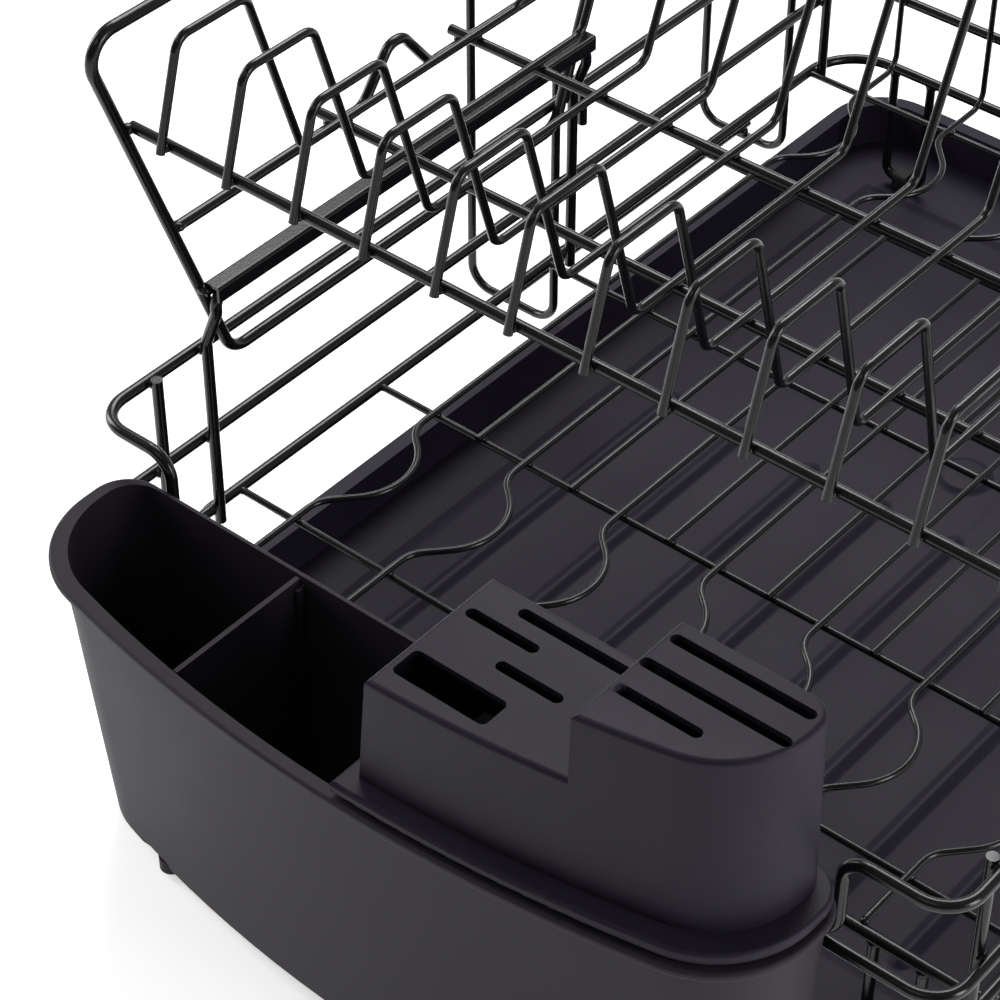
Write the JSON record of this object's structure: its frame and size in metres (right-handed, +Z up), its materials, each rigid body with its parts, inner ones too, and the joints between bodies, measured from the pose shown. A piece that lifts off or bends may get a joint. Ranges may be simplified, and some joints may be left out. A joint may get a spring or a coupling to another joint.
{
  "type": "dish drying rack",
  "caption": "Two-tier wire dish drying rack with lift-off plate rack, drip tray, hanging cutlery caddy, knife block and side board holder.",
  "frame": {"origin": "on the counter under the middle of the wire basket, on the underside of the drip tray", "axes": "+Z up, +Y from the caddy at the front to the back wall, +X to the right seen from the caddy"},
  "size_m": [0.4463, 0.608, 0.3119],
  "materials": {
    "coated_wire": "satin black coating",
    "foot_rubber": "matte",
    "tray_plastic": "fine matte",
    "caddy_plastic": "fine matte",
    "block_plastic": "fine matte"
  },
  "bodies": {
    "tray": {"drip_tray": "tray_plastic"},
    "basket": {"rim_hoop": "coated_wire", "middle_hoop": "coated_wire", "floor_hoop": "coated_wire", "floor_cross_wires": "coated_wire", "floor_straight_wires": "coated_wire", "floor_wavy_wires": "coated_wire", "left_support_leg": "coated_wire", "right_support_leg": "coated_wire", "left_front_upright": "coated_wire", "left_front_foot_wire": "coated_wire", "left_front_foot": "foot_rubber", "right_front_upright": "coated_wire", "right_front_foot_wire": "coated_wire", "right_front_foot": "foot_rubber", "left_rear_upright": "coated_wire", "left_rear_foot_wire": "coated_wire", "left_rear_foot": "foot_rubber", "right_rear_upright": "coated_wire", "right_rear_foot_wire": "coated_wire", "right_rear_foot": "foot_rubber"},
    "plate_rack": {"left_end_frame": "coated_wire", "right_end_frame": "coated_wire", "left_hook_channel": "coated_wire", "right_hook_channel": "coated_wire", "left_side_wire": "coated_wire", "right_side_wire": "coated_wire", "front_rail": "coated_wire", "front_floor_rail": "coated_wire", "rear_floor_rail": "coated_wire", "rear_rail": "coated_wire", "divider_wires": "coated_wire"},
    "caddy": {"caddy_body": "caddy_plastic"},
    "partition": {"caddy_partition": "caddy_plastic"},
    "block": {"knife_block": "block_plastic"},
    "holder": {"holder_front_wire": "coated_wire", "holder_rear_wire": "coated_wire", "holder_top_wire": "coated_wire", "holder_base_wire": "coated_wire"}
  },
  "joints": [
    {"name": "basket_lift", "type": "slide", "parent": "tray", "child": "basket", "axis": [0, 0, 1], "range_m": [0, 0.12]},
    {"name": "plate_rack_lift", "type": "slide", "parent": "basket", "child": "plate_rack", "axis": [0, 0, 1], "range_m": [0, 0.12]},
    {"name": "caddy_lift", "type": "slide", "parent": "basket", "child": "caddy", "axis": [0, 0, 1], "range_m": [0, 0.08]},
    {"name": "partition_lift", "type": "slide", "parent": "caddy", "child": "partition", "axis": [0, 0, 1], "range_m": [0, 0.1]},
    {"name": "knife_block_lift", "type": "slide", "parent": "caddy", "child": "block", "axis": [0, 0, 1], "range_m": [0, 0.1]},
    {"name": "holder_lift", "type": "slide", "parent": "basket", "child": "holder", "axis": [0, 0, 1], "range_m": [0, 0.022]}
  ]
}
